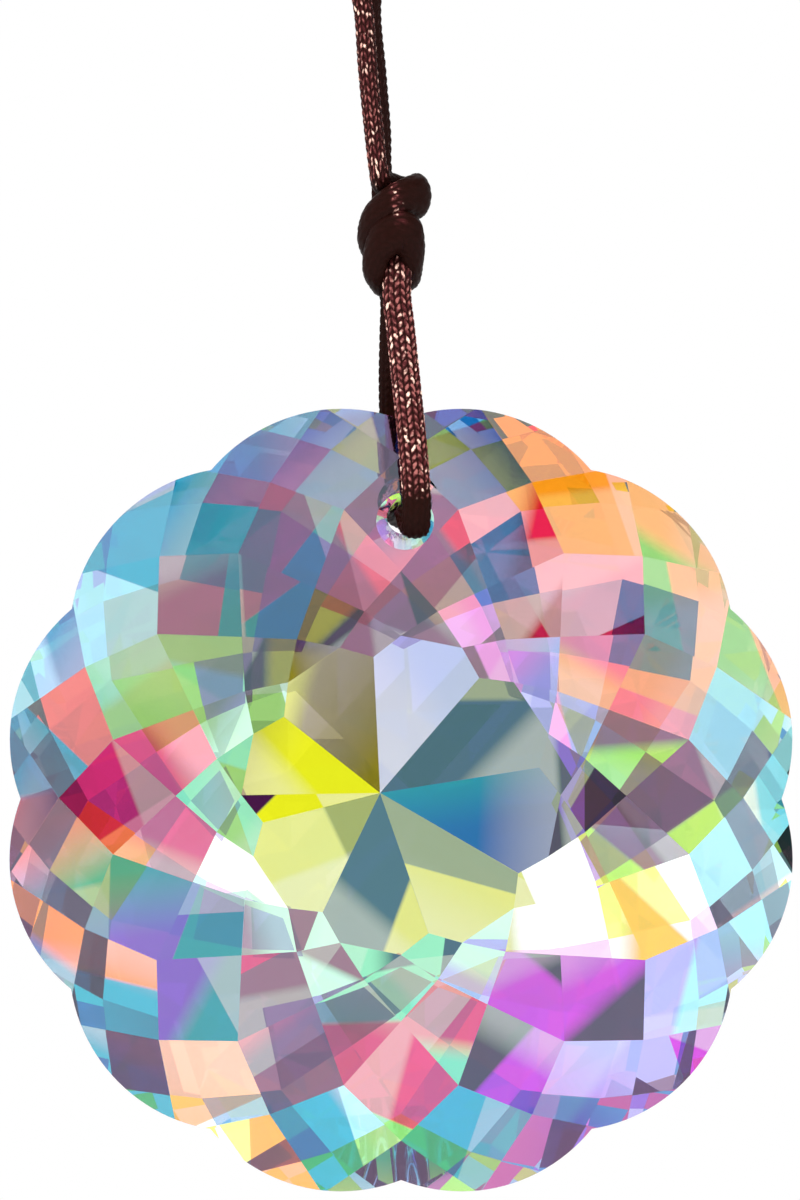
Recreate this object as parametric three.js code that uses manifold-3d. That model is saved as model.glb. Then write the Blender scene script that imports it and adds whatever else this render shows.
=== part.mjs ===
// Crystal suncatcher: a scalloped, faceted glass lens on a knotted cord.
//
// Millimetres, +Z up, the front faces -Y. The origin is the top of the hanging
// loop's inside, where a hook or nail carries the suncatcher.

import * as THREE from 'three';
import { mergeVertices } from 'three/addons/utils/BufferGeometryUtils.js';
import Module from 'manifold-3d';

const wasm = await Module();
wasm.setup();

// ---- driving dimensions ---------------------------------------------------

const CRYSTAL_CENTRE = new THREE.Vector3( 3.5, 0, - 74 );

const LOBES = 12;
const LOBE_PEAK_RADIUS = 30;		// centre of the crystal to the crown of a lobe
const NOTCH_RADIUS = 28.55;		// centre of the crystal to the cleft between two lobes
const LOBE_SEGMENTS = 12;

const FACETS_ROUND = 16;		// facets in each row of the cut
const RIM_RADIUS = 30.15;		// the row nearest the girdle starts here
const RING_RADII = [ RIM_RADIUS, 25.6, 21.9, 16.75, 13.95, 11.85, 10.45 ];
const OUTER_RADIUS = 30.9;		// the uncut blank, just outside the lobes
const GIRDLE_HALF = 1.1;		// half the thickness of the plain edge
const FRONT_SLOPE = 0.6;		// rise of the outer kite row, per unit of radius
const BACK_SLOPE = 0.5;
const FRONT_STAR_POINT = [ - 1.55, 0.1 ];	// the star's point is cut a little off centre
const BACK_STAR_POINT = [ 0.5, - 0.4 ];
const BACK_TURN = 0.5;			// of a facet, from the front lattice round to the back one

const BORE_X = 0.3;
const BORE_HEIGHT = 21.1;		// above the crystal's centre
const BORE_RADIUS = 1.4;
const MOUTH_RADIUS = 2.1;		// the ground chamfer at each end of the bore
const MOUTH_DEPTH = 1.4;
const BORE_SIDES = 32;
const BORE_REACH = 12;			// the drill runs this far past the centre plane

const CORD_RADIUS = 0.85;
const CORD_SIDES = 8;
const LOWER_STEPS = 44;
const HANGING_STEPS = 40;

const KNOT_CENTRE = [ - 0.45, 0, 42.6 ];	// above the crystal's centre
const KNOT_SIDES = 24;
const KNOT_DEPTH = 0.9;			// front to back, as a share of its width

// Points on the cord's centre line, from the crystal's centre.
const LOWER_ROUTE = [
	[ - 0.3, - 1.75, 37.7 ], [ - 0.05, - 2.35, 35.5 ], [ 0.3, - 3.6, 32 ], [ 0.65, - 5, 28.5 ],
	[ 0.95, - 6.4, 25.3 ], [ 1.15, - 7.5, 22.4 ], [ 1.15, - 7.75, 20.9 ], [ 1.05, - 7.15, 19.95 ],
	[ 0.82, - 6, 20.35 ], [ 0.65, - 4.9, 21.1 ], [ 0.6, - 3, 21.4 ], [ 0.55, 0, 21.5 ],
	[ 0.45, 3.2, 21.5 ], [ 0.25, 4.9, 21.5 ], [ - 0.05, 6.2, 21.7 ], [ - 0.2, 6.5, 22.9 ],
	[ - 0.35, 5.7, 25.3 ], [ - 0.55, 4.5, 28.5 ], [ - 0.62, 3.2, 32 ], [ - 0.55, 2.1, 35.5 ],
	[ - 0.5, 1.3, 37.7 ]
];
const HANGING_ROUTE = [
	[ - 1.7, - 0.95, 47.5 ], [ - 2.05, - 1, 50.5 ], [ - 2.5, - 1, 55 ], [ - 2.9, - 0.95, 60 ],
	[ - 3.75, - 0.6, 63.2 ], [ - 5.9, - 0.25, 66.3 ], [ - 7.6, 0, 69.4 ], [ - 7.1, 0, 72.6 ],
	[ - 5.5, 0, 74.3 ], [ - 3.5, 0, 74.85 ], [ - 1.5, 0, 74.3 ], [ 0.1, 0, 72.6 ],
	[ 0.6, 0, 69.4 ], [ - 0.6, 0.25, 66.3 ], [ - 1.85, 0.6, 63.2 ], [ - 2.25, 0.95, 60 ],
	[ - 1.85, 1, 55 ], [ - 1.5, 1, 50.5 ], [ - 1.4, 0.95, 47.5 ]
];

// ---- materials --------------------------------------------------------------

const glass = new THREE.MeshStandardMaterial( { color: 0xcfe3ea, roughness: 0.04, metalness: 0 } );
const satinCord = new THREE.MeshStandardMaterial( { color: 0x3a1a17, roughness: 0.5, metalness: 0 } );

// ---- solids -------------------------------------------------------------------

function toSolid( geometry ) {

	const bare = geometry.clone();
	bare.deleteAttribute( 'normal' );
	bare.deleteAttribute( 'uv' );
	const merged = mergeVertices( bare, 1e-5 );
	const mesh = new wasm.Mesh( {
		numProp: 3,
		vertProperties: new Float32Array( merged.attributes.position.array ),
		triVerts: new Uint32Array( merged.index.array )
	} );
	return new wasm.Manifold( mesh );

}

function toGeometry( solid ) {

	const mesh = solid.getMesh();
	const geometry = new THREE.BufferGeometry();
	geometry.setAttribute( 'position', new THREE.BufferAttribute( mesh.vertProperties, 3 ) );
	geometry.setIndex( new THREE.BufferAttribute( mesh.triVerts, 1 ) );
	geometry.computeVertexNormals();
	return geometry;

}

// ---- the cut ----------------------------------------------------------------

const STEP = 2 * Math.PI / FACETS_ROUND;
const HALF_COS = Math.cos( STEP / 2 );

// Heights that keep every kite of the cut flat: each kite's outer corner, the
// middle of its two side corners and its inner corner lie on one line.
function ringHeights( slope ) {

	const r = RING_RADII;
	const z = [ 0, slope * ( r[ 0 ] - r[ 1 ] * HALF_COS ) ];
	for ( let i = 2; i < r.length; i ++ ) {

		const rise = ( z[ i - 1 ] - z[ i - 2 ] ) / ( r[ i - 2 ] - r[ i - 1 ] * HALF_COS );
		z.push( z[ i - 2 ] + rise * ( r[ i - 2 ] - r[ i ] ) );

	}

	return z;

}

// One face of the crystal, as a closed solid standing on the centre plane.
// side is -1 for the front and 1 for the back.
function cutFace( side, slope, starPoint, turn ) {

	const heights = ringHeights( slope );
	const [ rimR, aR, , , , eR, sR ] = RING_RADII;
	const [ , aZ, , , , eZ, sZ ] = heights;
	const rimSlope = aZ / ( rimR * HALF_COS - aR );
	const starSlope = ( sZ - eZ ) / ( eR * HALF_COS - sR * Math.cos( STEP ) );
	const vertices = [];
	const polygons = [];

	function corner( turns, radius, depth ) {

		const angle = ( turns + turn ) * STEP;
		vertices.push( new THREE.Vector3( radius * Math.sin( angle ), side * depth, radius * Math.cos( angle ) ) );
		return vertices.length - 1;

	}

	function ring( radius, height, offset ) {

		const corners = [];
		for ( let k = 0; k < FACETS_ROUND; k ++ ) corners.push( corner( k + offset, radius, GIRDLE_HALF + height ) );
		return ( k ) => corners[ ( k + FACETS_ROUND ) % FACETS_ROUND ];

	}

	const outerHeight = - rimSlope * HALF_COS * ( OUTER_RADIUS - rimR );
	const outer = ring( OUTER_RADIUS, outerHeight, 0.5 );
	const base = ring( OUTER_RADIUS, - GIRDLE_HALF, 0.5 );
	const [ rim, a, b, c, d, e, s ] = RING_RADII.map( ( radius, i ) => ring( radius, heights[ i ], i % 2 ? 0 : 0.5 ) );
	const pointHeight = GIRDLE_HALF + eZ + starSlope * eR * HALF_COS;
	vertices.push( new THREE.Vector3( starPoint[ 0 ], side * pointHeight, starPoint[ 1 ] ) );
	const point = vertices.length - 1;

	for ( let k = 0; k < FACETS_ROUND; k ++ ) {

		polygons.push( [ outer( k - 1 ), outer( k ), base( k ), base( k - 1 ) ] );
		polygons.push( [ a( k ), rim( k ), outer( k ), outer( k - 1 ), rim( k - 1 ) ] );
		polygons.push( [ a( k ), b( k ), a( k + 1 ), rim( k ) ] );
		polygons.push( [ a( k ), b( k - 1 ), c( k ), b( k ) ] );
		polygons.push( [ c( k ), d( k ), c( k + 1 ), b( k ) ] );
		polygons.push( [ c( k ), d( k - 1 ), e( k ), d( k ) ] );
		if ( k % 2 ) {

			polygons.push( [ e( k ), s( k ), e( k + 1 ), d( k ) ] );

		} else {

			polygons.push( [ e( k ), e( k + 1 ), d( k ) ] );
			polygons.push( [ point, s( k + 1 ), e( k + 1 ), e( k ), s( k - 1 ) ] );

		}

	}

	polygons.push( Array.from( { length: FACETS_ROUND }, ( _, k ) => base( k ) ) );

	// Each polygon is fanned from its first corner, and wound to face away from
	// a point inside the solid.
	const inside = new THREE.Vector3( 0, side * GIRDLE_HALF, 0 );
	const index = [];
	for ( const polygon of polygons ) {

		for ( let i = 1; i < polygon.length - 1; i ++ ) {

			const triangle = [ polygon[ 0 ], polygon[ i ], polygon[ i + 1 ] ];
			const [ p, q, t ] = triangle.map( ( v ) => vertices[ v ] );
			const normal = q.clone().sub( p ).cross( t.clone().sub( p ) );
			if ( normal.dot( p.clone().sub( inside ) ) < 0 ) triangle.reverse();
			index.push( ...triangle );

		}

	}

	const geometry = new THREE.BufferGeometry().setFromPoints( vertices );
	geometry.setIndex( index );
	return toSolid( geometry );

}

// Twelve round lobes that meet in sharp clefts; a cleft stands over the bore.
function scallopedBlank() {

	const half = Math.PI / LOBES;
	const centreRadius = ( LOBE_PEAK_RADIUS ** 2 - NOTCH_RADIUS ** 2 ) /
		( 2 * ( LOBE_PEAK_RADIUS - NOTCH_RADIUS * Math.cos( half ) ) );
	const lobeRadius = LOBE_PEAK_RADIUS - centreRadius;
	const spread = Math.atan2( NOTCH_RADIUS * Math.sin( half ), NOTCH_RADIUS * Math.cos( half ) - centreRadius );
	const outline = new THREE.Shape();
	for ( let i = 0; i < LOBES; i ++ ) {

		const angle = ( 2 * i + 1 ) * half;
		const x = centreRadius * Math.cos( angle );
		const y = centreRadius * Math.sin( angle );
		outline.absarc( x, y, lobeRadius, angle - spread, angle + spread, false );

	}

	const depth = 2 * OUTER_RADIUS;
	const geometry = new THREE.ExtrudeGeometry( outline, { depth, bevelEnabled: false, curveSegments: LOBE_SEGMENTS } );
	geometry.translate( 0, 0, - depth / 2 );
	geometry.rotateX( Math.PI / 2 );
	return toSolid( geometry );

}

// Distance from the centre plane to a face, over the bore, which opens in the
// kite whose outer corner is on the given ring.
function depthAtBore( slope, ring ) {

	const z = ringHeights( slope );
	const rise = ( z[ ring + 1 ] - z[ ring ] ) / ( RING_RADII[ ring ] - RING_RADII[ ring + 1 ] * HALF_COS );
	return GIRDLE_HALF + z[ ring ] + rise * ( RING_RADII[ ring ] - BORE_HEIGHT );

}

function boreCutter() {

	const front = - depthAtBore( FRONT_SLOPE, 1 );
	const back = depthAtBore( BACK_SLOPE, 2 );
	const flare = ( MOUTH_RADIUS - BORE_RADIUS ) / MOUTH_DEPTH;
	const reach = BORE_REACH - Math.max( - front, back ) + MOUTH_DEPTH;
	const profile = [
		[ 0, front + MOUTH_DEPTH - reach ], [ BORE_RADIUS + flare * reach, front + MOUTH_DEPTH - reach ],
		[ BORE_RADIUS, front + MOUTH_DEPTH ], [ BORE_RADIUS, back - MOUTH_DEPTH ],
		[ BORE_RADIUS + flare * reach, back - MOUTH_DEPTH + reach ], [ 0, back - MOUTH_DEPTH + reach ]
	].map( ( [ radius, y ] ) => new THREE.Vector2( radius, y ) );
	const geometry = new THREE.LatheGeometry( profile, BORE_SIDES );
	geometry.translate( BORE_X, 0, BORE_HEIGHT );
	return toSolid( geometry );

}

function crystalGeometry() {

	const front = cutFace( - 1, FRONT_SLOPE, FRONT_STAR_POINT, 0 );
	const back = cutFace( 1, BACK_SLOPE, BACK_STAR_POINT, BACK_TURN );
	const cut = front.add( back ).intersect( scallopedBlank() ).subtract( boreCutter() );
	return toGeometry( cut );

}

// ---- the cord ------------------------------------------------------------------

function cordGeometry( route, steps ) {

	const path = new THREE.CatmullRomCurve3( route.map( ( p ) => new THREE.Vector3( ...p ) ), false, 'centripetal' );
	const section = new THREE.Shape();
	for ( let i = 0; i < CORD_SIDES; i ++ ) {

		const angle = ( i + 0.5 ) / CORD_SIDES * 2 * Math.PI;
		const x = CORD_RADIUS * Math.cos( angle );
		const y = CORD_RADIUS * Math.sin( angle );
		if ( i === 0 ) section.moveTo( x, y );
		else section.lineTo( x, y );

	}

	return new THREE.ExtrudeGeometry( section, { steps, extrudePath: path } );

}

// The outer shape of the drawn-up knot: a round upper wrap over a longer lower one.
function knotGeometry() {

	const profile = [
		[ 0, - 4.5 ], [ 1.6, - 4.5 ], [ 2.1, - 3.5 ], [ 2.35, - 2.2 ], [ 2.3, - 0.9 ], [ 2.2, 0.2 ],
		[ 2.55, 1.3 ], [ 2.75, 2.4 ], [ 2.45, 3.6 ], [ 1.7, 4.5 ], [ 0, 4.5 ]
	].map( ( [ radius, z ] ) => new THREE.Vector2( radius, z ) );
	const geometry = new THREE.LatheGeometry( profile, KNOT_SIDES );
	geometry.rotateX( Math.PI / 2 );
	geometry.scale( 1, KNOT_DEPTH, 1 );
	return geometry;

}

// ---- the suncatcher ----------------------------------------------------------

function piece( name, geometry, material ) {

	const mesh = new THREE.Mesh( geometry, material );
	mesh.name = name;
	return mesh;

}

const suncatcher = new THREE.Group();
suncatcher.position.copy( CRYSTAL_CENTRE );
suncatcher.add( piece( 'crystal', crystalGeometry(), glass ) );
suncatcher.add( piece( 'lower_loop', cordGeometry( LOWER_ROUTE, LOWER_STEPS ), satinCord ) );
suncatcher.add( piece( 'hanging_loop', cordGeometry( HANGING_ROUTE, HANGING_STEPS ), satinCord ) );

const knot = piece( 'knot', knotGeometry(), satinCord );
knot.position.set( ...KNOT_CENTRE );
suncatcher.add( knot );

export default suncatcher;
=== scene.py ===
"""Crystal suncatcher: a scalloped, faceted lens with an iridescent coating, hung on a knotted braided cord.

The file is laid out as a Blender add-on and is run as a script. Metres, +Z up, the front faces -Y. The
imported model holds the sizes: every piece here is placed from its boxes.
"""

import math
import random

import bmesh
import bpy
import numpy as np
from bpy.props import FloatProperty, FloatVectorProperty, IntProperty, PointerProperty
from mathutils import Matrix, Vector


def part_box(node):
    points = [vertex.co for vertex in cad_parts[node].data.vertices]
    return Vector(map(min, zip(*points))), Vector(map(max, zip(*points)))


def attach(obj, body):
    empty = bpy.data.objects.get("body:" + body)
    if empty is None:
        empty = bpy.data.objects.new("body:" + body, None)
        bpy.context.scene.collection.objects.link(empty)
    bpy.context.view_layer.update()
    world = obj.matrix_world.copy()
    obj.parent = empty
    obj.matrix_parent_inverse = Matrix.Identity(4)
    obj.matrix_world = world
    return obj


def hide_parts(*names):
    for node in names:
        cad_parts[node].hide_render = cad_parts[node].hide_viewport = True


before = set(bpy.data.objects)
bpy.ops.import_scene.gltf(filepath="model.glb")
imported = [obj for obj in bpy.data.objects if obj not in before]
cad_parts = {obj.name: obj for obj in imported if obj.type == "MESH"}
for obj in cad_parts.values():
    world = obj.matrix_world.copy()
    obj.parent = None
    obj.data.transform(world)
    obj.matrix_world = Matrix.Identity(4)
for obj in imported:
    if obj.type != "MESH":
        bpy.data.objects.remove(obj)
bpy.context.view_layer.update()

bl_info = {
    "name": "Crystal Suncatcher",
    "version": (1, 0, 0),
    "blender": (4, 5, 0),
    "location": "View3D > Sidebar > Suncatcher",
    "description": "Builds a faceted crystal suncatcher on its knotted cord around the packed model",
    "category": "Object",
}

MM = 0.001
CRYSTAL_LOW, CRYSTAL_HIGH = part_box("crystal")
CENTRE = Vector(((CRYSTAL_LOW.x + CRYSTAL_HIGH.x) / 2, 0, (CRYSTAL_LOW.z + CRYSTAL_HIGH.z) / 2))
RADIUS = (CRYSTAL_HIGH.x - CRYSTAL_LOW.x) / 2

# Points on the cord's centre line, in millimetres from the crystal's centre: from the knot down the front,
# back through the bore and up the back; and from the knot up, over and down again.
LOWER_ROUTE = [
    (-0.3, -1.75, 37.7), (-0.05, -2.35, 35.5), (0.3, -3.6, 32), (0.65, -5, 28.5), (0.95, -6.4, 25.3),
    (1.15, -7.5, 22.4), (1.15, -7.75, 20.9), (1.05, -7.15, 19.95), (0.82, -6, 20.35), (0.65, -4.9, 21.1),
    (0.6, -3, 21.4), (0.55, 0, 21.5), (0.45, 3.2, 21.5), (0.25, 4.9, 21.5), (-0.05, 6.2, 21.7),
    (-0.2, 6.5, 22.9), (-0.35, 5.7, 25.3), (-0.55, 4.5, 28.5), (-0.62, 3.2, 32), (-0.55, 2.1, 35.5),
    (-0.5, 1.3, 37.7),
]
HANGING_ROUTE = [
    (-1.7, -0.95, 47.5), (-2.05, -1, 50.5), (-2.5, -1, 55), (-2.9, -0.95, 60), (-3.75, -0.6, 63.2),
    (-5.9, -0.25, 66.3), (-7.6, 0, 69.4), (-7.1, 0, 72.6), (-5.5, 0, 74.3), (-3.5, 0, 74.85),
    (-1.5, 0, 74.3), (0.1, 0, 72.6), (0.6, 0, 69.4), (-0.6, 0.25, 66.3), (-1.85, 0.6, 63.2),
    (-2.25, 0.95, 60), (-1.85, 1, 55), (-1.5, 1, 50.5), (-1.4, 0.95, 47.5),
]

# In millimetres from the knot's centre, from one end of the cord to the other: the front strand coming down
# out of the knot's heart; the back strand passing up through it; and the left strand winding down round
# them twice, its end tucked in the heart.
KNOT_CENTRE = (-0.45, 0, 42.6)
FRONT_TUCK = [(0.1, -0.1, 0.4), (0.15, -0.7, -1.4), (0.15, -1.4, -3.2)]
CORE_PASS = [(-0.3, 0.7, -3.0), (-0.3, 0.45, -0.5), (-0.6, 0.55, 2.2)]
WRAPS = [
    (-0.9, 0.1, 4.0), (0.1, 0.9, 3.5), (1.2, 0.9, 3.1), (1.65, -0.1, 3.0), (1.0, -1.2, 2.9),
    (-0.3, -1.8, 2.4), (-1.5, -1.4, 1.3), (-2.0, -0.2, -0.2), (-1.4, 1.2, -1.2), (0.2, 1.8, -2.2),
    (1.0, 0.9, -3.0), (1.25, -0.4, -2.3), (1.2, -1.4, -1.0), (0.6, -2.0, 0.0), (-0.5, -2.1, -0.3),
    (-1.4, -1.7, -1.6), (-1.5, -0.9, -3.0), (-0.8, 0.3, -3.5), (0.1, 0.4, -2.0),
]
# Where the knot's turns are fullest: the middle of each, how much wider the cord is there, and how far from
# the middle that reaches.
BULGES = [((1.4, -0.2, 3.0), 0.6, 1.3), ((0.2, -2.0, 0.0), 0.55, 1.3)]
# The two ends, across and up, of the strip of painted highlights down the knot's face, and how far in
# front of the knot's middle that face begins.
PAINTED_HIGHLIGHT_STRIP = [(-0.15, 3.7), (0.45, 0.7)]
PAINTED_HIGHLIGHT_STRIP_DEPTH = 0.5
# The share of painted light by distance in front of the middle, by height over the bend into the bore, and
# by distance from the strip: millimetres, then shares. Low shares give painted shade on the back strand and
# the bend.
PAINTED_LIGHT_BY_DEPTH = [-1.2, 0.2, 1.2, 2.4], [0.02, 0.12, 0.27, 1.0]
PAINTED_LIGHT_BY_HEIGHT = [22, 24], [0.03, 1.0]
PAINTED_LIGHT_BY_STRIP = [0.2, 0.55], [0.5, 0.0]
# How much of its painted light the knot loses, as painted shade; the strip of painted highlights adds some
# back.
KNOT_PAINTED_SHADE = 0.96
# The way the cord's width lies: across the view up to the knot, and almost edge on above it.
FACING = (1, 0, 0)
EDGE_ON = (0.25, 0.97, 0)
KNOT_WIDTH = 2.2
KNOT_THICKNESS = 1.7

# The braid, in millimetres: columns of slanting stitches round the cord, alternate columns slanting the
# other way, and how far their crowns stand out.
BRAID_COLUMNS = 14
BRAID_PITCH = 0.66
BRAID_SLANT = 0.8
BRAID_RELIEF = 0.14
# How pointed a crown is along the stitch and across it, and how much of the column's width it takes.
CROWN_ALONG = 0.7
CROWN_ACROSS = 0.6
CROWN_SPAN = 0.94
# How much of the relief is pulled flat in the knot.
KNOT_FLATTENING = 0.6
# Each stitch draws its chance from this many, spread by two strides.
CHANCES = 4096
COLUMN_STRIDE = 61
STITCH_STRIDE = 17
# The cord's mesh: the length of a ring, its sides, and the points worked out between two route points.
BRAID_STEP = 0.09
CORD_SIDES = 56
FINE_SPAN = 60

# The satin's painted highlights and painted shade: how much a crown, a speck of noise and the painted light
# each add to the shine, the bands of shine, of painted light and of crown over which the yarn brightens out
# of painted shade, and those of chance and speck over which the painted highlights turn from copper to
# peach.
SPECK_SCALE = 2600.0
SHINE_OF_CROWN = 0.9
SHINE_OF_SPECK = 1.7
SHINE_OF_LIGHT = 0.3
SHINE_BAND = (1.62, 2.12)
PAINTED_LIGHT_BAND = (0.05, 0.3)
CROWN_BAND = (0.1, 0.9)
GLINT_OF_SPECK = 0.9
GLINT_BAND = (1.0, 1.5)
SATIN_ROUGHNESS = 0.45
SATIN_SPECULAR = 0.04


# ---- sizes and colours ---------------------------------------------------------------------------


class SuncatcherCrystal(bpy.types.PropertyGroup):
    """The crystal's glass and coating."""

    edge_width: FloatProperty(
        name="Edge width", description="Width of the polished land along each facet's edge",
        default=0.12 * MM, unit="LENGTH",
    )
    glass_index: FloatProperty(
        name="Glass index", description="Refractive index of the crystal glass", default=1.56,
    )
    film_thickness: FloatProperty(
        name="Film thickness", description="Thickness of the coating in nanometres", default=462,
    )
    film_index: FloatProperty(
        name="Film index", description="Refractive index of the coating", default=1.9,
    )
    front_depth: FloatProperty(
        name="Front depth", description="Depth of the front facets' colours, as a power", default=3.0,
    )
    back_depth: FloatProperty(
        name="Back depth", description="Depth of the back facets' colours, as a power", default=1.2,
    )
    paleness: FloatProperty(
        name="Paleness", description="How pale the pale side of a facet is", default=0.1, subtype="FACTOR",
    )
    seed: IntProperty(name="Seed", description="Seed of the facets' small differences", default=17)


class SuncatcherCord(bpy.types.PropertyGroup):
    """The braided cord."""

    width: FloatProperty(
        name="Width", description="Width of the flattened braid", default=2.1 * MM, unit="LENGTH",
    )
    thickness: FloatProperty(
        name="Thickness", description="Thickness of the flattened braid", default=1.35 * MM, unit="LENGTH",
    )
    # Painted shade: the near-black the cord's colour falls to in the braid's hollows and away from the
    # painted light.
    shade: FloatVectorProperty(
        name="Shade", description="Near-black brown of the cord away from the light", subtype="COLOR",
        default=(0.011, 0.003, 0.002),
    )
    yarn: FloatVectorProperty(
        name="Yarn", description="Red brown between the lit stitches", subtype="COLOR",
        default=(0.07, 0.014, 0.016),
    )
    # Painted highlight: copper pink painted on the crowns of the stitches where the painted light share is
    # high.
    lit: FloatVectorProperty(
        name="Lit", description="Copper pink on the crowns of the stitches", subtype="COLOR",
        default=(0.3, 0.1, 0.09),
    )
    # Painted highlight: the pale peach of the brightest stitches.
    painted_glint: FloatVectorProperty(
        name="Glint", description="Pale peach of the brightest stitches", subtype="COLOR",
        default=(0.95, 0.62, 0.5),
    )
    seed: IntProperty(name="Seed", description="Seed of the stitches' glints", default=3)


class SuncatcherStage(bpy.types.PropertyGroup):
    """The camera, the lights and the floor."""

    distance: FloatProperty(
        name="Distance", description="Camera to the suncatcher", default=0.7, unit="LENGTH",
    )
    elevation: FloatProperty(
        name="Elevation", description="Height of the camera as an angle", default=math.radians(-3.2),
        subtype="ANGLE",
    )
    view_height: FloatProperty(
        name="View height", description="Height of the view at the suncatcher", default=90.4 * MM,
        unit="LENGTH",
    )
    floor_drop: FloatProperty(
        name="Floor drop", description="Floor below the crystal's lowest point", default=0.06, unit="LENGTH",
    )


# ---- finishes: node trees written as expressions -------------------------------------------------


class Socket:
    """One output of a node tree, with the arithmetic that the finishes use."""

    def __init__(self, finish, link):
        self.finish = finish
        self.link = link

    def math(self, operation, other):
        return self.finish.node("ShaderNodeMath", {"operation": operation}, {0: self, 1: other})

    def __add__(self, other):
        return self.math("ADD", other)

    def __mul__(self, other):
        return self.math("MULTIPLY", other)

    def __rsub__(self, other):
        return self.finish.node("ShaderNodeMath", {"operation": "SUBTRACT"}, {0: other, 1: self})

    def __pow__(self, other):
        return self.math("POWER", other)


class Finish:
    """The node tree of a material or a world, around its one shader."""

    def __init__(self, owner, shader="Principled BSDF"):
        owner.use_nodes = True
        self.owner = owner
        self.tree = owner.node_tree
        self.shader = self.tree.nodes[shader]

    def node(self, kind, settings=None, sockets=None, output=0):
        made = self.tree.nodes.new(kind)
        for key, value in (settings or {}).items():
            if key == "stops":
                self.ramp(made.color_ramp, value)
            elif key == "interpolation":
                made.color_ramp.interpolation = value
            else:
                setattr(made, key, value)
        for key, value in (sockets or {}).items():
            self.feed(made.inputs[key], value)
        return Socket(self, made.outputs[output])

    def feed(self, target, value):
        if isinstance(value, Socket):
            self.tree.links.new(value.link, target)
        elif hasattr(value, "__len__") and len(value) == 3 and target.type == "RGBA":
            target.default_value = (*value, 1)
        else:
            target.default_value = value

    def ramp(self, ramp, stops):
        while len(ramp.elements) < len(stops):
            ramp.elements.new(0.5)
        for element, (place, colour) in zip(ramp.elements, stops):
            element.position = place
            element.color = (*colour, 1)

    def gradient(self, stops, place, interpolation="LINEAR"):
        settings = {"interpolation": interpolation, "stops": stops}
        return self.node("ShaderNodeValToRGB", settings, {"Fac": place})

    def steps(self, stops, place):
        return self.gradient(stops, place, "CONSTANT")

    def blend(self, share, low, high):
        """A colour from low to high; a Mix node's colour sockets have no names of their own."""
        return self.node(
            "ShaderNodeMix", {"data_type": "RGBA"}, {"Factor": share, 6: low, 7: high}, output=2,
        )

    def band(self, value, low, high):
        """0 below low, 1 above high, and a smooth rise between them."""
        return self.node(
            "ShaderNodeMapRange", {"interpolation_type": "SMOOTHSTEP"},
            {"Value": value, "From Min": low, "From Max": high},
        )

    def attribute(self, name):
        return self.node("ShaderNodeAttribute", {"attribute_name": name}, output="Fac")

    def set(self, **values):
        for key, value in values.items():
            self.feed(self.shader.inputs[key.replace("_", " ")], value)
        return self.owner


# ---- the crystal ---------------------------------------------------------------------------------


WHITE = (1.0, 1.0, 1.0)
FROST = (0.72, 0.8, 1.0)
ICE = (0.52, 0.86, 0.98)
CYAN = (0.02, 0.54, 0.68)
TEAL = (0.02, 0.4, 0.46)
AZURE = (0.01, 0.48, 0.8)
BLUE = (0.01, 0.2, 0.52)
SLATE = (0.11, 0.11, 0.26)
MINT = (0.42, 0.82, 0.62)
GREEN = (0.46, 0.72, 0.34)
LAVENDER = (0.58, 0.56, 0.92)
VIOLET = (0.34, 0.14, 0.62)
PLUM = (0.15, 0.04, 0.16)
PEARL = (0.82, 0.86, 1.0)
FOAM = (0.72, 0.95, 0.85)
BLUSH = (1.0, 0.6, 0.66)
STRAW = (0.78, 0.76, 0.28)
MAUVE = (0.44, 0.2, 0.33)
MAGENTA = (0.68, 0.06, 0.78)
RUBY = (0.8, 0.1, 0.34)
ORCHID = (0.96, 0.46, 0.9)
PINK = (1.0, 0.34, 0.5)
ROSE = (0.85, 0.07, 0.2)
SALMON = (0.93, 0.33, 0.26)
ORANGE = (0.97, 0.46, 0.1)
PEACH = (1.0, 0.6, 0.36)
GOLD = (1.0, 0.66, 0.1)
LEMON = (0.85, 0.9, 0.06)
LIME = (0.62, 0.85, 0.16)
OLIVE = (0.45, 0.42, 0.07)
KHAKI = (0.42, 0.42, 0.3)

# The coating's main and second colour, clockwise as seen from the front: the star by its eight facets from
# the one that points just past twelve o'clock, and the rings outside it by the hour, from twelve. Each ring
# begins at its reach, as a share of the radius.
STAR = [
    (PEARL, FROST), (SLATE, KHAKI), (BLUE, TEAL), (STRAW, KHAKI), (SLATE, STRAW), (STRAW, OLIVE),
    (LEMON, PLUM), (OLIVE, LEMON),
]
INNER = [
    (MAUVE, PLUM), (ORCHID, MAUVE), (LAVENDER, ORCHID), (PLUM, VIOLET), (WHITE, STRAW), (FOAM, LAVENDER),
    (MINT, SLATE), (FOAM, MAUVE), (WHITE, FOAM), (MINT, GREEN), (GREEN, FOAM), (OLIVE, PLUM),
]
MIDDLE = [
    (MAUVE, ROSE), (BLUSH, ROSE), (PEACH, PINK), (MAUVE, LIME), (WHITE, GOLD), (MAGENTA, PLUM),
    (RUBY, MINT), (MAUVE, RUBY), (TEAL, VIOLET), (RUBY, PINK), (MINT, GREEN), (MAUVE, TEAL),
]
OUTER = [
    (BLUE, AZURE), (ORANGE, PEACH), (PEACH, GREEN), (ICE, WHITE), (ICE, LAVENDER), (LAVENDER, MAGENTA),
    (CYAN, ICE), (PEACH, WHITE), (CYAN, ORANGE), (CYAN, SALMON), (ICE, CYAN), (CYAN, AZURE),
]
STAR_START = 1 / 32
RINGS = [(0.4, INNER), (0.52, MIDDLE), (0.78, OUTER)]

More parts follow.
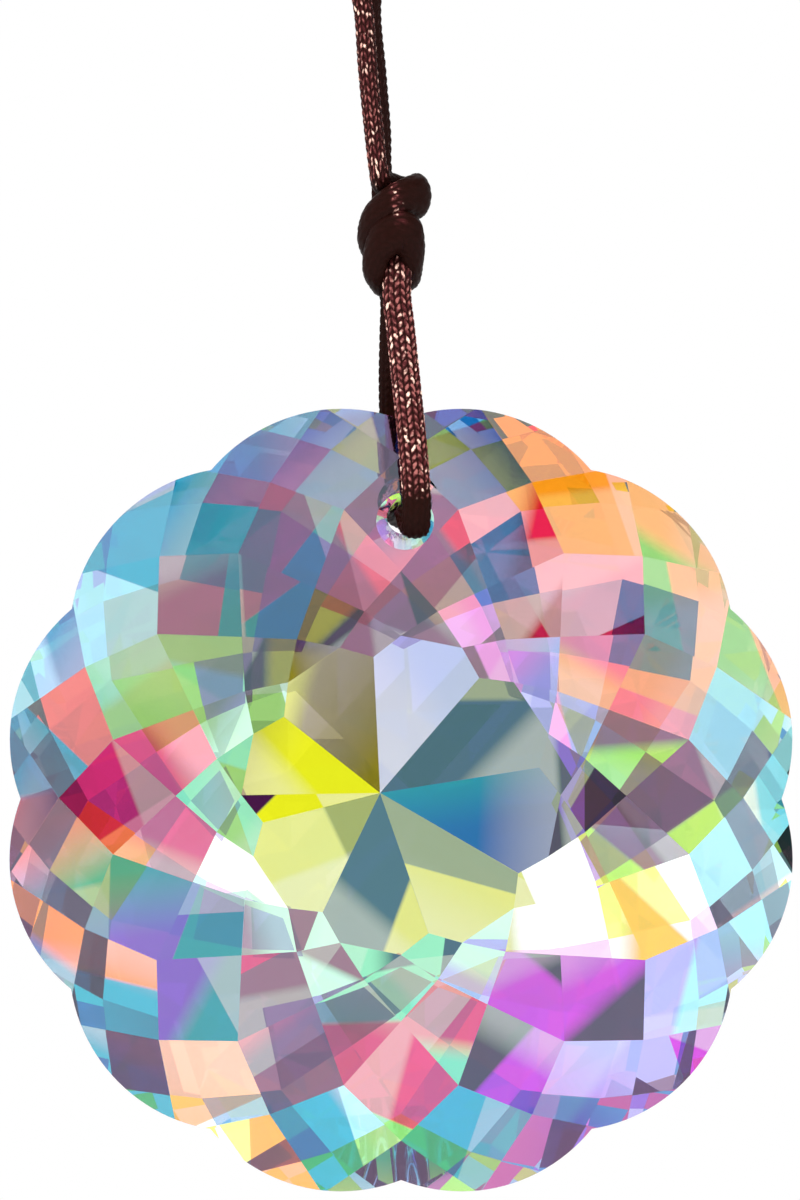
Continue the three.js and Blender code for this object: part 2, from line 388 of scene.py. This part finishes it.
# The colours of the bore's wall and its ground mouths, clockwise from twelve, then the bore's axis from the
# crystal's centre and how far from it the mouths reach.
BORE_TINTS = [LIME, GREEN, WHITE, MINT, CYAN, MINT, LAVENDER, ORCHID, LAVENDER, PEACH, WHITE, MINT]
BORE_AXIS = Vector((0.3, 0, 21.1)) * MM
BORE_SPAN = 3.2 * MM

# What the back facets show, each by its own chance, beyond the reach where the star is clear of them.
BACK = [
    WHITE, ICE, WHITE, PEACH, WHITE, ORCHID, WHITE, MINT, ROSE, WHITE, BLUE, PLUM, WHITE, TEAL, VIOLET,
    LEMON,
]
BACK_REACH = (0.3, 0.45)

# The lines across the facets: how soft the softest is, how soft the sharpest, and between which places the
# line may fall, in half facets from the middle.
SOFTEST = 0.8
SHARPEST = 0.01
LINE_SHIFT = (-0.7, 0.1)
# A facet's chances come from its place, on a grid of this many steps round the clock and along the radius.
TURN_STEPS = 32
REACH_STEPS = 20

# What tells the faces apart: those of the bore look at its axis by more than BORE_LEAN; upright walls look
# forward or back by less than WALL_LEAN; the land round the rim lies beyond RIM_REACH and looks forward or
# back by something between the two of RIM_LEAN.
BORE_LEAN = 0.5
WALL_LEAN = 0.2
RIM_LEAN = (0.25, 0.7)
RIM_REACH = 0.9

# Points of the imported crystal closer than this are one, and faces flatter to each other than this are one
# facet.
SAME_POINT = 0.002 * MM
SAME_PLANE = math.radians(1.5)


def spread(colours):
    """Ramp stops that give each colour an equal share, the first from 0."""
    return [(i / len(colours), colour) for i, colour in enumerate(colours)]


def arcs(colours, start=0.0):
    """Ramp stops that give each colour an equal arc of the clock, the first centred on start."""
    share = 1 / len(colours)
    stops = [(0.0, colours[0])]
    stops += [((i - 0.5) * share + start, colour) for i, colour in enumerate(colours) if i]
    return stops + [(1 - share / 2 + start, colours[0])]


def coated_crystal(look):
    """Clear glass, coated. Every front facet is split by a straight line between its arc's two colours,
    sharp on some facets and soft on others, and a second line leaves one side of it paler. The back facets,
    the bore and the rim's land have colours of their own."""
    finish = Finish(bpy.data.materials.new("coated_crystal"))
    turn = finish.attribute("facet_turn")
    reach = finish.attribute("facet_reach")
    chance = finish.attribute("facet_chance")
    second_chance = finish.attribute("facet_second_chance")

    def deepened(colours, depth):
        return [tuple(value ** depth for value in colour) for colour in colours]

    def coat(which):
        star = arcs(deepened([pair[which] for pair in STAR], look.front_depth), STAR_START)
        colour = finish.steps(star, turn)
        for start, pairs in RINGS:
            ring = finish.steps(arcs(deepened([pair[which] for pair in pairs], look.front_depth)), turn)
            colour = finish.blend(reach.math("GREATER_THAN", start), colour, ring)
        return colour

    def split(line, draw):
        softness = draw ** 3 * SOFTEST + SHARPEST
        return finish.band(finish.attribute(line), softness * -1, softness)

    front = finish.blend(split("facet_split", chance), coat(0), coat(1))
    front = finish.blend(split("facet_cross", second_chance) * look.paleness, front, WHITE)
    behind = finish.steps(spread(deepened(BACK, look.back_depth)), chance)
    behind = finish.blend(finish.band(reach, *BACK_REACH), WHITE, behind)
    tint = finish.blend(finish.attribute("facet_back"), front, behind)
    bore = finish.gradient(spread(BORE_TINTS), turn)
    tint = finish.blend(finish.attribute("facet_bore"), tint, bore)
    tint = finish.blend(finish.attribute("facet_rim"), tint, VIOLET)
    return finish.set(
        Base_Color=tint, Roughness=0.0, IOR=look.glass_index, Transmission_Weight=1.0,
        Thin_Film_Thickness=look.film_thickness, Thin_Film_IOR=look.film_index,
    )


def mark_facets(cut, seed):
    """Gives each facet its place on the clock, its reach from the centre, two chances of its own, and two
    lines across it, as distances from them in half facets. A face of the bore has its place on the clock
    round the bore's own axis."""
    names = ("facet_turn", "facet_reach", "facet_back", "facet_bore", "facet_chance", "facet_second_chance")
    turn, reach, back, bore, chance, second_chance = (cut.faces.layers.float.new(name) for name in names)
    lines = [cut.loops.layers.float.new(name) for name in ("facet_split", "facet_cross")]
    for face in cut.faces:
        middle = face.calc_center_median()
        out = middle - CENTRE
        face[turn] = math.atan2(out.x, out.z) / math.tau % 1
        face[reach] = math.hypot(out.x, out.z) / RADIUS
        face[back] = float(out.y > 0)
        place = f"{round(face[turn] * TURN_STEPS)} {round(face[reach] * REACH_STEPS)} {face[back]}"
        draw = random.Random(f"{seed} {place}")
        face[chance] = draw.random()
        face[second_chance] = draw.random()
        off_axis = out - BORE_AXIS
        off_axis.y = 0
        if off_axis.length < BORE_SPAN and face.normal.dot(off_axis.normalized()) < -BORE_LEAN:
            face[bore] = 1.0
            face[turn] = math.atan2(off_axis.x, off_axis.z) / math.tau % 1
        face.smooth = abs(face.normal.y) < WALL_LEAN or face[bore] > 0
        for line in lines:
            angle = draw.uniform(0, math.tau)
            across = Vector((math.cos(angle), 0, math.sin(angle)))
            span = max(abs((corner.co - middle).dot(across)) for corner in face.verts)
            shift = draw.uniform(*LINE_SHIFT)
            for loop in face.loops:
                loop[line] = (loop.vert.co - middle).dot(across) / span + shift


def crystal_mesh(look):
    """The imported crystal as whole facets, with a narrow polished land along every edge between them."""
    cut = bmesh.new()
    cut.from_mesh(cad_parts["crystal"].data)
    bmesh.ops.remove_doubles(cut, verts=cut.verts, dist=SAME_POINT)
    bmesh.ops.dissolve_limit(cut, angle_limit=SAME_PLANE, verts=cut.verts, edges=cut.edges)
    cut.normal_update()
    mark_facets(cut, look.seed)
    lands = [e for e in cut.edges if len(e.link_faces) == 2 and not all(f.smooth for f in e.link_faces)]
    bmesh.ops.bevel(
        cut, geom=lands, offset=look.edge_width / 2, offset_type="OFFSET", segments=1, affect="EDGES",
        clamp_overlap=True,
    )
    cut.normal_update()
    rim = cut.faces.layers.float.new("facet_rim")
    for face in cut.faces:
        out = face.calc_center_median() - CENTRE
        leans = RIM_LEAN[0] < abs(face.normal.y) < RIM_LEAN[1]
        face[rim] = float(math.hypot(out.x, out.z) > RIM_REACH * RADIUS and leans)
    mesh = bpy.data.meshes.new("cut_crystal")
    cut.to_mesh(mesh)
    cut.free()
    return mesh


def carry(piece, slot_name, *nodes):
    """Stands a piece for its CAD nodes, on the model's one body."""
    bpy.context.scene.collection.objects.link(piece)
    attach(piece, "root")
    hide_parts(*nodes)


class SUNCATCHER_OT_crystal(bpy.types.Operator):
    """Cut the crystal and coat it"""

    bl_idname = "suncatcher.crystal"
    bl_label = "Crystal"

    def execute(self, context):
        look = context.scene.suncatcher_crystal
        piece = bpy.data.objects.new("cut_crystal", crystal_mesh(look))
        piece.data.materials.append(coated_crystal(look))
        carry(piece, "crystal", "crystal")
        return {"FINISHED"}


# ---- the cord ------------------------------------------------------------------------------------


def smooth_line(rows, step):
    """An even line through rows of place and lay, by centripetal Catmull-Rom spans."""
    rows = np.vstack([2 * rows[0] - rows[1], rows, 2 * rows[-1] - rows[-2]])
    gaps = np.linalg.norm(np.diff(rows[:, :3], axis=0), axis=1) ** 0.5
    knots = np.concatenate([[0], np.cumsum(gaps)])
    fine = []
    for i in range(1, len(rows) - 2):
        t = np.linspace(knots[i], knots[i + 1], FINE_SPAN, endpoint=False)[:, None]

        def between(low, high, p, q):
            return p + (q - p) * (t - knots[low]) / (knots[high] - knots[low])

        first = between(i - 1, i, rows[i - 1], rows[i])
        second = between(i, i + 1, rows[i], rows[i + 1])
        third = between(i + 1, i + 2, rows[i + 1], rows[i + 2])
        early = between(i - 1, i + 1, first, second)
        late = between(i, i + 2, second, third)
        fine.append(between(i, i + 1, early, late))
    fine = np.vstack([*fine, rows[-2]])
    along = np.concatenate([[0], np.cumsum(np.linalg.norm(np.diff(fine[:, :3], axis=0), axis=1))])
    even = np.linspace(0, along[-1], round(along[-1] / step) + 1)
    return np.stack([np.interp(even, along, column) for column in fine.T], axis=1)


def cord_route():
    """The cord's control points, in millimetres from the crystal's centre, each with the way its width lies,
    its share of the knot and how many times its width it bulges to."""
    rows = []

    def run(points, lay):
        rows.extend([*point, *lay, 0.0, 1.0] for point in points)

    def knot_run(points, lay=None, knotted=1.0):
        places = [np.array(point) for point in points]
        for i, place in enumerate(places):
            ahead = places[min(i + 1, len(places) - 1)] - places[max(i - 1, 0)]
            flat = np.cross(ahead, (place[0], place[1], 0)) if lay is None else np.array(lay)
            bulge = 1.0
            if lay is None:
                bulge += sum(
                    size * math.exp(-((math.dist(place, middle) / span) ** 2))
                    for middle, size, span in BULGES
                )
            rows.append([*(place + KNOT_CENTRE), *(flat / np.linalg.norm(flat)), knotted, bulge])

    knot_run(FRONT_TUCK, FACING, 0.0)
    run(LOWER_ROUTE, FACING)
    knot_run(CORE_PASS, FACING)
    run(HANGING_ROUTE[::-1], EDGE_ON)
    knot_run(WRAPS)
    rows = np.array(rows)
    for i in range(1, len(rows)):
        if rows[i, 3:6] @ rows[i - 1, 3:6] < 0:
            rows[i, 3:6] *= -1
    return rows


def painted_light_share(points, knotted):
    """Painted light and shade on the cord's colour: the share of painted light, most on the front strand and
    least on the back strand, its bend into the crystal and the knot, apart from the painted highlights of
    the strip down the knot's face."""
    front = np.interp(-points[..., 1], *PAINTED_LIGHT_BY_DEPTH) * np.interp(points[..., 2], *PAINTED_LIGHT_BY_HEIGHT)
    start, end = (np.array(place) + (KNOT_CENTRE[0], KNOT_CENTRE[2]) for place in PAINTED_HIGHLIGHT_STRIP)
    offset = points[..., [0, 2]] - start
    share = np.clip(offset @ (end - start) / ((end - start) @ (end - start)), 0, 1)
    away = np.linalg.norm(offset - share[..., None] * (end - start), axis=-1)
    strip = np.interp(away, *PAINTED_LIGHT_BY_STRIP) * (points[..., 1] < -PAINTED_HIGHLIGHT_STRIP_DEPTH)
    # Painted shade over the knot, with painted highlights along its strip.
    return front * (1 - KNOT_PAINTED_SHADE * knotted) + strip * knotted


def braid(turn, along, stitch_seed):
    """The braid's relief, from 0 in its hollows to 1 on its crowns, and each stitch's own chance. Every
    other pair of columns starts half a stitch on."""
    column = np.floor(turn * BRAID_COLUMNS)
    across = turn * BRAID_COLUMNS - column - 0.5
    slant = np.where(column % 2 == 0, 1.0, -1.0)
    place = along / BRAID_PITCH + slant * across * BRAID_SLANT + 0.5 * (np.floor(column / 2) % 2)
    stitch = np.floor(place)
    crown = np.sin(np.pi * (place - stitch)) ** CROWN_ALONG
    crown = crown * np.cos(np.pi * across * CROWN_SPAN) ** CROWN_ACROSS
    chances = np.random.default_rng(stitch_seed).random(CHANCES)
    chance = chances[(column * COLUMN_STRIDE + stitch * STITCH_STRIDE).astype(int) % CHANCES]
    return crown, chance


def cord_mesh(look):
    """The whole cord as one closed braided tube, and its centre line."""
    line = smooth_line(cord_route(), BRAID_STEP)
    place, lay, knotted, bulge = line[:, :3], line[:, 3:6], line[:, 6], line[:, 7]
    ahead = np.gradient(place, axis=0)
    ahead /= np.linalg.norm(ahead, axis=1)[:, None]
    wide = lay - (lay * ahead).sum(1)[:, None] * ahead
    wide /= np.linalg.norm(wide, axis=1)[:, None]
    thick = np.cross(ahead, wide)
    turn = np.arange(CORD_SIDES) / CORD_SIDES
    along = np.arange(len(line)) * BRAID_STEP
    crown, chance = braid(turn[None, :], along[:, None], look.seed)
    relief = BRAID_RELIEF * (crown - 0.5) * (1 - KNOT_FLATTENING * knotted[:, None])
    half_width, half_thick = look.width / MM / 2, look.thickness / MM / 2
    half_width = (half_width + (KNOT_WIDTH / 2 - half_width) * knotted) * bulge
    half_thick = (half_thick + (KNOT_THICKNESS / 2 - half_thick) * knotted) * ((1 + bulge) / 2)
    angle = turn * math.tau
    rings = (
        place[:, None, :]
        + wide[:, None, :] * ((half_width[:, None] + relief) * np.cos(angle))[:, :, None]
        + thick[:, None, :] * ((half_thick[:, None] + relief) * np.sin(angle))[:, :, None]
    )
    count = len(line)
    points = np.vstack([rings.reshape(-1, 3), place[0], place[-1]])
    grid = np.arange(count * CORD_SIDES).reshape(count, CORD_SIDES)
    beside = np.roll(grid, -1, axis=1)
    faces = np.stack([grid[:-1], beside[:-1], beside[1:], grid[1:]], axis=2).reshape(-1, 4).tolist()
    first, last = count * CORD_SIDES, count * CORD_SIDES + 1
    faces += [[first, int(b), int(a)] for a, b in zip(grid[0], beside[0])]
    faces += [[last, int(a), int(b)] for a, b in zip(grid[-1], beside[-1])]
    mesh = bpy.data.meshes.new("braided_cord")
    mesh.from_pydata((points * MM + np.array(CENTRE)).tolist(), [], faces)
    mesh.shade_smooth()
    # The share of painted light and shade at every point of the braid's surface, kept for its colour.
    lit = painted_light_share(rings, knotted[:, None])
    for name, values in (("crown", crown), ("stitch", chance), ("lit", lit)):
        layer = mesh.attributes.new(name, "FLOAT", "POINT")
        layer.data.foreach_set("value", np.append(values.ravel(), [0, 0]).astype(np.float32))
    return mesh, place * MM + np.array(CENTRE)


def braid_with_painted_glints(look):
    """Near-black satin yarn with painted light: painted copper highlights on the crowns of the stitches, a
    few in peach, and painted shade in the hollows and away from the painted light.
    """
    finish = Finish(bpy.data.materials.new("braid_with_painted_glints"))
    crown, stitch, lit = (finish.attribute(name) for name in ("crown", "stitch", "lit"))
    place = finish.node("ShaderNodeTexCoord", output="Object")
    speck = finish.node("ShaderNodeTexNoise", {}, {"Vector": place, "Scale": SPECK_SCALE, "Detail": 1.0})
    # Painted highlights: crowns, specks of noise and the painted light share make a shine; where it is high
    # and the painted light falls, the colour turns copper.
    shine = crown * SHINE_OF_CROWN + speck * SHINE_OF_SPECK + lit * SHINE_OF_LIGHT
    painted_glint_mask = finish.band(shine, *SHINE_BAND) * finish.band(lit, *PAINTED_LIGHT_BAND)
    # Painted shade: the yarn falls to near-black in the hollows between the crowns and away from the painted
    # light.
    yarn = finish.blend(lit * finish.band(crown, *CROWN_BAND), look.shade, look.yarn)
    # Painted highlights: copper on most crowns that shine, pale peach on the brightest stitches.
    bright = finish.blend(finish.band(stitch + speck * GLINT_OF_SPECK, *GLINT_BAND), look.lit, look.painted_glint)
    return finish.set(
        Base_Color=finish.blend(painted_glint_mask, yarn, bright), Roughness=SATIN_ROUGHNESS,
        Specular_IOR_Level=SATIN_SPECULAR,
    )


class SUNCATCHER_OT_cord(bpy.types.Operator):
    """Braid the cord, through the crystal, the knot and the hanging loop"""

    bl_idname = "suncatcher.cord"
    bl_label = "Cord"

    def execute(self, context):
        look = context.scene.suncatcher_cord
        mesh, line = cord_mesh(look)
        piece = bpy.data.objects.new("braided_cord", mesh)
        mesh.materials.append(braid_with_painted_glints(look))
        carry(piece, "cord", "lower_loop", "knot", "hanging_loop")
        return {"FINISHED"}


# ---- the stage -----------------------------------------------------------------------------------


# From the crystal's centre to the middle of the view.
AIM = Vector((-0.08, 0, 15.05)) * MM
SENSOR_WIDTH = 36
CLIP = (0.01, 50)

# Each softbox: its place from the crystal's centre, its width and height, and its power.
SOFTBOXES = {
    "key": ((-0.5, -0.6, 0.6), (0.5, 0.5), 10),
    "fill": ((0.7, -0.4, 0.1), (0.5, 0.6), 4),
}

# The room: the size of its clouds, where one ends and the next begins, the brightness of the dark ones and
# how much brighter the light ones are; the wall behind the crystal and where its edge falls.
CLOUD_SCALE = 2.2
CLOUD_EDGE = (0.44, 0.53)
CLOUD_DARK = 0.02
CLOUD_GAIN = 1.25
BACK_WALL = 1.15
BACK_WALL_EDGE = (0.8, 0.93)

FLOOR_RADIUS = 1.5
FLOOR_SIDES = 96
FLOOR_GRAIN = 40.0
FLOOR_ROUGHNESS = 0.8
PAPER = ((0.84, 0.84, 0.84), (0.88, 0.88, 0.88))


class SUNCATCHER_OT_camera(bpy.types.Operator):
    """Place the camera in front of the suncatcher"""

    bl_idname = "suncatcher.camera"
    bl_label = "Camera"

    def execute(self, context):
        look = context.scene.suncatcher_stage
        direction = Vector((0, -math.cos(look.elevation), math.sin(look.elevation)))
        data = bpy.data.cameras.new("camera")
        data.sensor_width = SENSOR_WIDTH
        data.lens = SENSOR_WIDTH * look.distance / look.view_height
        data.clip_start, data.clip_end = CLIP
        camera = bpy.data.objects.new("camera", data)
        camera.location = CENTRE + AIM + direction * look.distance
        camera.rotation_euler = (-direction).to_track_quat("-Z", "Y").to_euler()
        context.scene.collection.objects.link(camera)
        context.scene.camera = camera
        return {"FINISHED"}


def softbox(name, place, size, power):
    """A rectangular lamp turned to the crystal, which its facets don't mirror."""
    data = bpy.data.lights.new(name, "AREA")
    data.shape = "RECTANGLE"
    data.size, data.size_y = size
    data.energy = power
    lamp = bpy.data.objects.new(name, data)
    lamp.location = CENTRE + Vector(place)
    lamp.rotation_euler = (-Vector(place)).to_track_quat("-Z", "Y").to_euler()
    lamp.visible_glossy = False
    lamp.visible_transmission = False
    bpy.context.scene.collection.objects.link(lamp)


def sky(scene):
    """White to the camera. The crystal's facets see a bright wall behind it and a room of light and dark."""
    scene.world = bpy.data.worlds.new("studio")
    room = Finish(scene.world, "Background")
    direction = room.node("ShaderNodeTexCoord", output="Generated")
    along = room.node("ShaderNodeSeparateXYZ", {}, {0: direction}, output="Y")
    cloud = room.node("ShaderNodeTexNoise", {}, {"Vector": direction, "Scale": CLOUD_SCALE, "Detail": 0.0})
    walls = room.band(cloud, *CLOUD_EDGE) * CLOUD_GAIN + CLOUD_DARK
    shade = walls + room.band(along, *BACK_WALL_EDGE) * (BACK_WALL - walls)
    seen = room.node("ShaderNodeLightPath", output="Is Camera Ray")
    room.set(Color=room.blend(seen, shade, WHITE))


class SUNCATCHER_OT_stage(bpy.types.Operator):
    """Lay the floor and set the lights"""

    bl_idname = "suncatcher.stage"
    bl_label = "Stage"

    def execute(self, context):
        scene = context.scene
        look = scene.suncatcher_stage
        sky(scene)
        for name, (place, size, power) in SOFTBOXES.items():
            softbox(name, place, size, power)
        scene.view_settings.view_transform = "Standard"
        bpy.ops.mesh.primitive_circle_add(
            vertices=FLOOR_SIDES, radius=FLOOR_RADIUS, fill_type="NGON",
            location=(0, 0, CRYSTAL_LOW.z - look.floor_drop),
        )
        floor = context.active_object
        floor.name = "floor"
        finish = Finish(bpy.data.materials.new("pale_floor"))
        place = finish.node("ShaderNodeTexCoord", output="Object")
        grain = finish.node("ShaderNodeTexNoise", {}, {"Vector": place, "Scale": FLOOR_GRAIN})
        paper = finish.blend(grain, *PAPER)
        floor.data.materials.append(finish.set(Base_Color=paper, Roughness=FLOOR_ROUGHNESS))
        return {"FINISHED"}


# ---- the panel and the run -----------------------------------------------------------------------


class SUNCATCHER_PT_panel(bpy.types.Panel):
    """The suncatcher's pieces"""

    bl_label = "Suncatcher"
    bl_space_type = "VIEW_3D"
    bl_region_type = "UI"
    bl_category = "Suncatcher"

    def draw(self, context):
        for step in STEPS:
            self.layout.operator(step.bl_idname)


STEPS = (SUNCATCHER_OT_camera, SUNCATCHER_OT_cord, SUNCATCHER_OT_crystal, SUNCATCHER_OT_stage)
GROUPS = {
    "suncatcher_crystal": SuncatcherCrystal,
    "suncatcher_cord": SuncatcherCord,
    "suncatcher_stage": SuncatcherStage,
}


def register():
    for group in GROUPS.values():
        bpy.utils.register_class(group)
    for step in STEPS:
        bpy.utils.register_class(step)
    bpy.utils.register_class(SUNCATCHER_PT_panel)
    for name, group in GROUPS.items():
        setattr(bpy.types.Scene, name, PointerProperty(type=group))


def unregister():
    for name in GROUPS:
        delattr(bpy.types.Scene, name)
    bpy.utils.unregister_class(SUNCATCHER_PT_panel)
    for step in STEPS:
        bpy.utils.unregister_class(step)
    for group in GROUPS.values():
        bpy.utils.unregister_class(group)


def main():
    register()
    bpy.ops.suncatcher.camera()
    bpy.ops.suncatcher.cord()
    bpy.ops.suncatcher.crystal()
    bpy.ops.suncatcher.stage()


if __name__ == "__main__":
    main()
